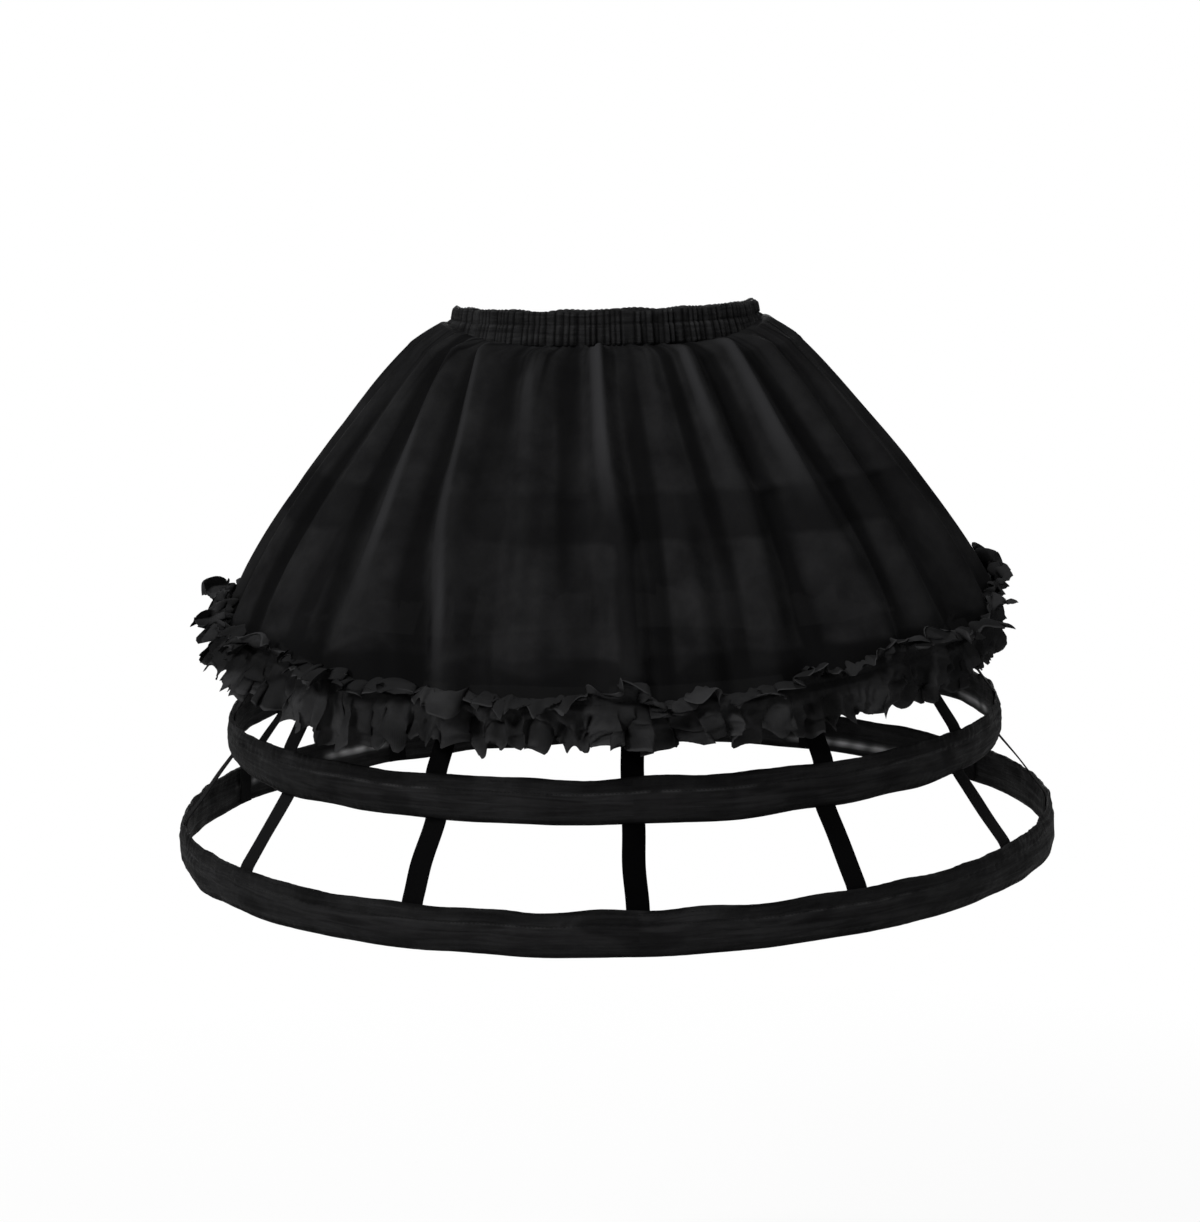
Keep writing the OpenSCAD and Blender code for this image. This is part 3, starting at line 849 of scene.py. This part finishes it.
def skirt_folds(angle, share):
    """How far the folds stand out, with painted highlights on their crests and painted shade in valleys
    and above the frill.
    """
    phase, strength, streak = fold_phase(angle, share ** 0.5)
    calm = smooth(np.abs(np.sin(angle)), 0.60, 0.90) * (np.cos(angle) > FRONT_AND_SIDES)
    left = smooth(-np.sin(angle), 0.2, 0.5) * (np.cos(angle) > FRONT_AND_SIDES)
    wander = chance_waves(angle, 5 * share, 81, 8, 3, 17, 1.0)
    phase = phase + FOLD_WANDER * wander * smooth(share, 0.1, 0.9)
    sharp = (0.5 + 0.5 * np.cos(phase)) ** (1.9 - 0.7 * smooth(share, 0.15, 0.9))
    second = 0.5 + 0.5 * np.cos(2 * phase + 1.4 * chance_waves(angle, 3 * share, 82, 6, 4, 22, 1.5))
    grown = 0.62 + 0.38 * smooth(share, 0.1, 0.7)
    kept = np.clip(0.75 + 0.25 * chance_waves(angle, 4 * share, 83, 6, 3, 15, 1.2), 0.3, 1.1)
    sunk = 0.34 + 0.44 * smooth(share, 0.12, 0.4)
    depth = FOLD_DEPTH * grown * kept * (1 - SIDE_CALM * calm)
    fold = depth * (strength * sharp + SECOND_FOLD * second - sunk)
    patchy = np.clip(0.35 + 0.75 * chance_waves(angle, 6 * share, 87, 8, 6, 28, 1.0), 0, 1)
    # Painted highlight streaks along chosen fold crests.
    begin, end, bright = np.moveaxis(streak, -1, 0)
    lit = np.clip((share - begin) / 0.06, 0, 1) * np.clip((end - share) / 0.25, 0, 1)
    painted_light = bright * lit * smooth(np.cos(phase + HIGHLIGHT_OFFSET), 0.72, 1.0) * (0.6 + 0.4 * patchy)
    # Painted shade in the fold valleys, and a painted shadow above the frill.
    valley_shade = smooth(1 - sharp, 0.80 - 0.35 * left, 1.0) * (1 - 0.6 * patchy)
    ragged = 0.018 * chance_waves(angle, 0, 88, 8, 6, 30, 0)
    shadow_above_frill = smooth(share + ragged, 0.900, 0.925) * smooth(np.cos(angle), 0.2, 0.7)
    shadow_above_frill = shadow_above_frill * (0.45 + 0.55 * (1 - patchy))
    painted_shade = np.maximum((0.8 - 0.64 * calm * (1 - left)) * valley_shade, HEM_SHADOW * shadow_above_frill)
    return fold, painted_light, painted_shade


def skirt_gathers(angle, share):
    """The fine gathers that fan out below the waist seam, and painted shade between them under the seam.
    """
    gathers = np.abs(np.sin(GATHERS / 2 * angle + 0.5 * chance_waves(angle, 0, 84, 7, 9, 40, 0)))
    uneven = np.clip(0.5 + 0.7 * chance_waves(angle, 0, 89, 9, 9, 60, 0), 0, 1)
    # Painted shade between the gathers just under the waist seam.
    tuck_shade = (0.35 + 0.65 * smooth(1 - gathers, 0.3, 0.8)) * uneven
    tuck_shade = tuck_shade * (1 - smooth(share, 0.11, 0.17 + 0.16 * uneven))
    shirred = SHIRR_OUT * gathers * smooth(share, 0.02, 0.06) * (1 - smooth(share, 0.04, 0.13))
    return shirred, TUCK_SHADE * tuck_shade


def over_top_hoop(r, z):
    """Holds the cloth just outside the top hoop's casing."""
    low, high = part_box("hoop_4_casing")
    beside = np.abs(z - (low[2] + high[2]) / 2) - (high[2] - low[2]) / 2
    rest = high[0] + REST_GAP - REST_SLOPE * np.clip(beside - 1 * MM, 0, None)
    return rest + np.logaddexp(0, (r - rest) / REST_EASE) * REST_EASE


def over_tapes(r, z):
    """Holds the cloth above the tapes on their way from the waist seam to the top hoop."""
    tape_r, tape_z = tape_line()[1:3].T
    under = tape_z[0] + (r - tape_r[0]) * (tape_z[1] - tape_z[0]) / (tape_r[1] - tape_r[0]) + TAPE_ROOM
    over = under + np.logaddexp(0, (z - under) / REST_EASE) * REST_EASE
    return np.where((r > tape_r[0]) & (r < tape_r[1]), over, z)


def skirt_grid():
    """The skirt's points, their angles, radii and heights, and its painted highlights and painted shade.
    """
    line, out, share = skirt_profile()
    angle = around(SKIRT_COLUMNS)[None, :]
    share = share[:, None]
    fold, painted_light, painted_shade = skirt_folds(angle, share)
    shirred, tuck_shade = skirt_gathers(angle, share)
    crumple = CRUMPLE_OUT * chance_waves(angle, 14 * share, 85, 18, 18, 60, 1.0)
    pulled = PULLED_IN * np.abs(chance_waves(angle, 9 * share, 86, 14, 12, 40, 1.0))
    off = fold + shirred + crumple * smooth(share, 0.08, 0.25) - pulled * smooth(share, 0.1, 0.4)
    off = off * smooth(share, 0.015, 0.13)
    z = line[:, 1:] + out[:, 1:] * off
    r = over_top_hoop(line[:, :1] + out[:, :1] * off, z)
    rising = np.clip((WAIST_RADIUS + SIDE_RISE_ENDS - r) / SIDE_RISE_OVER, 0, 1) ** 1.2
    z = z + SIDE_RISE * np.sin(angle) ** 4 * rising
    z = z + waist_dip(angle) * (1 - smooth(share, 0.03, 0.25)) + hem_sway(angle) * smooth(share, 0.45, 1)
    z = over_tapes(r, z)
    return on_ring(angle, r, z), angle, r, z, painted_light, np.maximum(painted_shade, tuck_shade)


def behind_group():
    """Painted shadow where a hoop or a tape lies close behind the skirt and darkens the cloth."""
    group = bpy.data.node_groups.new("cage_shadow", "ShaderNodeTree")
    group.interface.new_socket("Dark", in_out="OUTPUT", socket_type="NodeSocketFloat")
    goes_out = group.nodes.new("NodeGroupOutput")
    at = group.nodes.new("ShaderNodeTexCoord").outputs["Object"]
    blur = place(group, "ShaderNodeTexNoise", Vector=at, Scale=28.0, Detail=2.0)
    ragged = calc(group, "MULTIPLY_ADD", blur.outputs["Fac"], SHADOW_RAGGED, -SHADOW_RAGGED / 2)
    here = place(group, "ShaderNodeSeparateXYZ", Vector=at)
    bands = []
    for hoop, lower in SHOWN_THROUGH:
        low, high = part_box(f"hoop_{hoop}_casing")
        off = calc(group, "SUBTRACT", here.outputs["Z"], (low[2] + high[2]) / 2 - lower)
        off = calc(group, "ADD", calc(group, "ABSOLUTE", off), ragged)
        half = (high[2] - low[2]) / 2
        band = place(group, "ShaderNodeMapRange", Value=off, From_Min=half + SHADOW_EDGE)
        band.inputs["From Max"].default_value = half - SHADOW_EDGE
        bands.append(band.outputs["Result"])
    turn = calc(group, "ARCTAN2", here.outputs["X"], calc(group, "MULTIPLY", here.outputs["Y"], -1.0))
    drawn = calc(group, "MULTIPLY_ADD", calc(group, "SINE", turn), FRONT_DRAW, turn)
    drawn = calc(group, "MULTIPLY_ADD", calc(group, "SINE", drawn), FRONT_DRAW, turn)
    count = calc(group, "DIVIDE", drawn, TURN / TAPES)
    miss = calc(group, "ABSOLUTE", calc(group, "SUBTRACT", count, calc(group, "ROUND", count)))
    miss = calc(group, "MULTIPLY_ADD", miss, TURN / TAPES * TAPE_SHADOW_RADIUS, ragged)
    tape = place(group, "ShaderNodeMapRange", Value=miss, From_Min=TAPE_SHADOW_HALF + SHADOW_EDGE)
    tape.inputs["From Max"].default_value = TAPE_SHADOW_HALF - SHADOW_EDGE
    shown = place(group, "ShaderNodeMapRange", Value=here.outputs["Z"], From_Min=TAPES_SHOW_FROM)
    shown.inputs["From Max"].default_value = TAPES_SHOW_FULL
    tape = calc(group, "MULTIPLY", tape.outputs["Result"], shown.outputs["Result"])
    patch = place(group, "ShaderNodeTexNoise", Vector=at, Scale=9.0, Detail=2.0)
    clear = place(group, "ShaderNodeMapRange", Value=patch.outputs["Fac"], From_Min=0.36, From_Max=0.56)
    clear.inputs["To Min"].default_value = 0.25
    dark = calc(group, "MAXIMUM", calc(group, "MAXIMUM", *bands), tape)
    dark = calc(group, "MULTIPLY", dark, clear.outputs["Result"])
    group.links.new(dark, goes_out.inputs["Dark"])
    return group


CAGE_SHADOW = behind_group()


def organza(name, dark, bright, hemmed=None):
    """Crisp fine cloth with minute holes between its threads, rolled at its edges where it is hemmed."""
    material, tree, shader = new_material(name)
    weave = use_group(tree, PLAIN_WEAVE, Pitch=ORGANZA_PITCH)
    mottle = use_group(tree, CLOTH_MOTTLE, Size=0.035)
    tone = calc(tree, "MULTIPLY", mottle.outputs["Tone"], 0.7)
    tone = calc(tree, "MULTIPLY_ADD", weave.outputs["Height"], 0.3, tone)
    # Painted shadow of the cage behind, then painted shade and painted highlights, all in the colour.
    behind = use_group(tree, CAGE_SHADOW).outputs["Dark"]
    tone = calc(tree, "MULTIPLY", tone, calc(tree, "MULTIPLY_ADD", behind, -SHADOW_DARK, 1.0))
    colour = tint(tree, tone, dark, bright)
    colour = recolour(tree, colour, marked(tree, "painted_shade"), PAINTED_SHADE_BLACK)
    colour = recolour(tree, colour, marked(tree, "painted_light"), PAINTED_HIGHLIGHT_GREY)
    if hemmed:
        threads = tree.nodes.new("ShaderNodeUVMap").outputs[0]
        across = place(tree, "ShaderNodeSeparateXYZ", Vector=threads).outputs["Y"]
        from_middle = calc(tree, "ABSOLUTE", calc(tree, "SUBTRACT", across, hemmed / 2))
        inset = calc(tree, "SUBTRACT", hemmed / 2, from_middle)
        rolled = place(tree, "ShaderNodeMapRange", Value=inset, From_Min=ROLL_INNER, From_Max=ROLL_OUTER)
        colour = recolour(tree, colour, rolled.outputs["Result"], [ROLL_PALE * c for c in bright])
    tree.links.new(colour, shader.inputs["Base Color"])
    tree.links.new(spread(tree, tone, 0.62, 0.46), shader.inputs["Roughness"])
    shader.inputs["Specular IOR Level"].default_value = 0.0004
    solid = spread(tree, weave.outputs["Holes"], 1.0 - OPEN_SHARE * 0.6, 1.0 - OPEN_SHARE * 1.8)
    tree.links.new(solid, shader.inputs["Alpha"])
    bumped(tree, shader, weave.outputs["Height"], ORGANZA_RELIEF, 0.5)
    return material


organza_black = organza("organza_black", ORGANZA_BLACK, ORGANZA_GREY)
skirt_points, skirt_angle, skirt_r, skirt_z, painted_light, painted_shade = skirt_grid()
mesh = cloth_mesh("overskirt_organza", skirt_points)
mark_cloth(mesh, "painted_light", painted_light)
mark_cloth(mesh, "painted_shade", painted_shade)
overskirt = add_piece("overskirt_organza", mesh, organza_black)
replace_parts(overskirt, "overskirt")

# Hem frill: a strip of the same organza, gathered along its middle and stitched there to the
# skirt's hem. Both edges are rolled, stand free and crumple into flutes.
FRILL_COLUMNS = 1760
FRILL_ROWS = 45
FLUTES = 54
FRILL_ABOVE = 23 * MM
FRILL_BELOW = 33 * MM
FLOPPED_TO = -3 * MM
# A lump's place and half width in degrees, with its height in mm between them.
STANDING_LUMPS = (
    (-90, 24, 16), (-56, 15, 5), (-32, 7, 3), (-2.5, 21, 4), (10, 10, 3), (25, 18, 6), (38, 20, 6),
    (48, 16, 6), (70, 16, 10), (88, 38, 12), (138, 14, 12), (170, 10, 10), (198, 16, 10), (232, 14, 14),
)
LOWER_EDGE_LUMPS = ((-41, 17, 8), (-86, -12, 14), (10, -4, 6))
SIDE_SWAY = 12 * MM
SEWN_ROW = -3
OFF_SKIRT = 0.8 * MM
HEM_GAP = 1.2 * MM
FLUTE_OUT = 6.0 * MM
FLUTE_ASIDE = 5.6 * MM
SMALL_FLUTE = 1.3 * MM
SMALL_FLUTE_UP = 1.4 * MM
RUCHE_OUT = 0.55 * MM
CRUSH_IN = 3.6 * MM
CRUSH_UP = 3.0 * MM
EDGE_UNEVEN = 2.5 * MM
FRILL_BLACK = (0.0066, 0.0066, 0.0068)
FRILL_GREY = (0.0275, 0.0275, 0.0283)
FRILL_STITCH_LENGTH = 3.2 * MM
FRILL_STITCH_PROUD = 0.15 * MM


def lumps_round(angle, lumps):
    """Soft lumps round the ring, each given by its place, its height in mm and its half width."""
    total = np.zeros_like(angle)
    for place_at, height, half in lumps:
        away = (np.degrees(angle) - place_at + 180) % 360 - 180
        total = total + height * MM * np.exp(-(away / half) ** 2)
    return total


def frill_flutes(angle, across):
    """Flutes of the strip: how far they swing out, slide sideways and repeat as small ones."""
    reach = np.abs(across)
    uneven = 1.4 * chance_waves(angle, 0, 91, 9, 4, 22, 0)
    split = 1.1 * chance_waves(angle, 0, 92, 8, 8, 34, 0) * across
    phase = FLUTES * angle + uneven + split
    flute = np.sin(phase) + 0.28 * np.sin(2 * phase + uneven)
    tuck = np.sin(2 * phase + 0.7 * uneven)
    small = np.sin(2.5 * FLUTES * angle + 2.6 * uneven + 2.2 * split)
    full = np.clip(0.85 + 0.40 * chance_waves(angle, across, 93, 9, 6, 40, 0.8), 0.25, 1.3)
    open_out = smooth(reach, 0.0, 0.8) * full
    lean = np.where(across < 0, 1.15, 0.1)
    swing = FLUTE_OUT * open_out * (lean + flute) + SMALL_FLUTE * small * smooth(reach, 0.05, 0.5)
    return flute, small, swing, FLUTE_ASIDE * open_out * tuck


def frill_grid():
    """A strip sewn to the hem along its middle: its upper half flops over, its lower half hangs."""
    angle = around(FRILL_COLUMNS)[None, :]
    across = np.linspace(-1, 1, FRILL_ROWS)[:, None]
    closed = np.append(skirt_angle, TURN)
    rows = (skirt_r[SEWN_ROW], skirt_z[SEWN_ROW], skirt_r[-1])
    sewn_r, sewn_z, hem_r = (np.interp(angle, closed, np.append(row, row[0])) for row in rows)
    upper = across < 0
    reach = np.abs(across)
    flute, small, swing, shuffle = frill_flutes(angle, across)
    side = np.sin(angle) * np.abs(np.sin(angle))
    ruche = RUCHE_OUT * (0.5 + reach) * chance_waves(angle, 4 * across, 94, 16, 110, 260, 1.0)
    flop = np.clip(0.55 + 0.40 * chance_waves(angle, 0, 95, 8, 8, 46, 0), 0.05, 1.0)
    crush = np.abs(chance_waves(angle, across, 98, 10, 25, 80, 10)) - 0.8
    crush = crush + 0.5 * (np.abs(chance_waves(angle, across, 99, 12, 60, 180, 14)) - 0.8)
    ragged = 1.0 + 0.05 * chance_waves(angle, 0, 96, 10, 30, 120, 0) - 0.10 * np.abs(flute)
    rise = FLOPPED_TO + lumps_round(angle, STANDING_LUMPS)
    rise = rise + EDGE_UNEVEN * chance_waves(angle, 0, 97, 8, 20, 70, 0)
    taller = 1 + 0.25 * chance_waves(angle, 0, 101, 8, 12, 44, 0)
    above = np.maximum(FRILL_ABOVE * taller, rise + 5 * MM)
    folded = np.arccos(np.clip(rise / above, -0.5, 0.97))
    below = FRILL_BELOW + lumps_round(angle, LOWER_EDGE_LUMPS)
    length = np.where(upper, above, below) * ragged * reach
    tilt = np.where(upper, folded * reach ** 0.5, 0.36 * flop * reach ** 0.6)
    climb = np.where(upper, 0.42 * length * np.clip(np.cos(tilt), 0, 1), 0)
    drop = np.where(upper, 0, (hem_r - sewn_r + HEM_GAP) * smooth(reach, 0, 0.12))
    sway = SIDE_SWAY * side * reach * np.where(upper, 0.15, 1)
    out = length * np.sin(tilt) * np.where(upper, 0.55, 0.3) - sway
    z = sewn_z + np.where(upper, 1, -1) * length * np.cos(tilt)
    z = z + (SMALL_FLUTE_UP * small + CRUSH_UP * crush) * reach
    r = sewn_r + OFF_SKIRT + drop - climb + out + swing + ruche
    r = r - CRUSH_IN * crush * smooth(reach, 0.0, 0.5)
    return on_ring(angle + shuffle / sewn_r, r, z)


frill_points = frill_grid()
frill_width = float(np.linalg.norm(np.diff(frill_points[:, 0], axis=0), axis=1).sum())
frill_organza = organza("frill_organza", FRILL_BLACK, FRILL_GREY, hemmed=frill_width)
mesh = cloth_mesh("hem_frill_organza", frill_points)
frill = add_piece("hem_frill_organza", mesh, frill_organza)
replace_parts(frill, "hem_frill")
runs = ring_stitches(frill_points[FRILL_ROWS // 2], FRILL_STITCH_PROUD, FRILL_STITCH_LENGTH)
add_piece("frill_stitches", stitch_mesh("frill_stitches", runs), thread_black)

# Stage: a pale floor at a wearer's foot level, a white surround, four soft lamps and the camera,
# which stands a little above the waist and looks slightly down.
WAIST_ABOVE_FLOOR = 1.02
FLOOR_RADIUS = 9.0
FLOOR_SIDES = 96
FLOOR_WHITE = (0.86, 0.86, 0.86, 1)
FADE_FROM = 1.1
FADE_TO = 1.9
NEAR_GLOW = 0.82
SURROUND_LIGHT = 0.15
LAMP_AIM = (0, 0, -0.2)
CAMERA_DISTANCE = 2.1
CAMERA_ABOVE_HEM = 0.5319
CAMERA_PITCH = 9.574
CAMERA_TURN = -2.2
FOCAL_PIXELS = 2738.8
PHOTO_HEIGHT = 1222
AXIS_SHIFT_PIXELS = 12
CAMERA_ROLL = 1.3


def white_surround():
    """A world that is white to look at and lights the cage only a little."""
    world = bpy.data.worlds.new("white_surround")
    world.use_nodes = True
    tree = world.node_tree
    tree.nodes.clear()
    ray = tree.nodes.new("ShaderNodeLightPath")
    seen = calc(tree, "MAXIMUM", ray.outputs["Is Camera Ray"], ray.outputs["Is Glossy Ray"])
    seen = calc(tree, "MAXIMUM", seen, ray.outputs["Is Transmission Ray"])
    strength = spread(tree, seen, SURROUND_LIGHT, 1.0)
    light = place(tree, "ShaderNodeBackground", Color=(1, 1, 1, 1), Strength=strength)
    out = tree.nodes.new("ShaderNodeOutputWorld")
    tree.links.new(light.outputs[0], out.inputs["Surface"])
    bpy.context.scene.world = world


def pale_floor():
    """A floor that keeps a little of the cage's shadow and fades to white away from it."""
    ring = around(FLOOR_SIDES)
    rim = on_ring(ring, FLOOR_RADIUS, -WAIST_ABOVE_FLOOR)
    mesh = bpy.data.meshes.new("floor")
    mesh.from_pydata([tuple(p) for p in rim], [], [tuple(range(len(ring)))])
    floor = bpy.data.objects.new("floor", mesh)
    bpy.context.scene.collection.objects.link(floor)
    material, tree, shader = new_material("floor_white")
    shader.inputs["Base Color"].default_value = FLOOR_WHITE
    shader.inputs["Roughness"].default_value = 0.9
    shader.inputs["Specular IOR Level"].default_value = 0.1
    at = place(tree, "ShaderNodeVectorMath", _0=tree.nodes.new("ShaderNodeTexCoord").outputs["Object"])
    at.operation = "LENGTH"
    away = at.outputs["Value"]
    far = place(tree, "ShaderNodeMapRange", Value=away, From_Min=FADE_FROM, From_Max=FADE_TO)
    far.inputs["To Min"].default_value = NEAR_GLOW
    ray = tree.nodes.new("ShaderNodeLightPath")
    share = calc(tree, "MULTIPLY", far.outputs["Result"], ray.outputs["Is Camera Ray"])
    glow = place(tree, "ShaderNodeEmission", Color=(1, 1, 1, 1), Strength=1.0)
    mix = tree.nodes.new("ShaderNodeMixShader")
    tree.links.new(share, mix.inputs[0])
    tree.links.new(shader.outputs[0], mix.inputs[1])
    tree.links.new(glow.outputs[0], mix.inputs[2])
    tree.links.new(mix.outputs[0], tree.nodes["Material Output"].inputs["Surface"])
    mesh.materials.append(material)


def soft_lamp(name, place_at, size, watts):
    """A round lamp that points at the middle of the cage."""
    data = bpy.data.lights.new(name, "AREA")
    data.shape = "DISK"
    data.size = size
    data.energy = watts
    lamp = bpy.data.objects.new(name, data)
    lamp.location = place_at
    aim = np.array(LAMP_AIM) - np.array(place_at)
    lamp.rotation_euler = (
        math.atan2(math.hypot(aim[0], aim[1]), -aim[2]),
        0,
        math.atan2(aim[1], aim[0]) - math.pi / 2,
    )
    bpy.context.scene.collection.objects.link(lamp)


white_surround()
pale_floor()
soft_lamp("key_lamp", (-1.5, -2.0, 1.1), 0.6, 51)
soft_lamp("fill_lamp", (2.0, -1.8, 0.8), 1.5, 13)
soft_lamp("top_lamp", (-0.6, -0.8, 2.3), 0.5, 51)
soft_lamp("back_lamp", (0.2, 2.6, 0.6), 1.2, 30)

camera_data = bpy.data.cameras.new("camera")
camera_data.sensor_fit = "VERTICAL"
camera_data.sensor_height = 36
camera_data.lens = FOCAL_PIXELS / PHOTO_HEIGHT * camera_data.sensor_height
camera_data.shift_x = -AXIS_SHIFT_PIXELS / PHOTO_HEIGHT
camera = bpy.data.objects.new("camera", camera_data)
swing = math.radians(CAMERA_TURN)
camera.location = (
    CAMERA_DISTANCE * math.sin(swing),
    -CAMERA_DISTANCE * math.cos(swing),
    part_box("hoop_1_casing")[0][2] + CAMERA_ABOVE_HEM,
)
camera.rotation_euler = (
    Matrix.Rotation(swing, 3, "Z")
    @ Matrix.Rotation(math.radians(90 - CAMERA_PITCH), 3, "X")
    @ Matrix.Rotation(-math.radians(CAMERA_ROLL), 3, "Z")
).to_euler()
bpy.context.scene.collection.objects.link(camera)
bpy.context.scene.camera = camera
bpy.context.scene.view_settings.view_transform = "Standard"
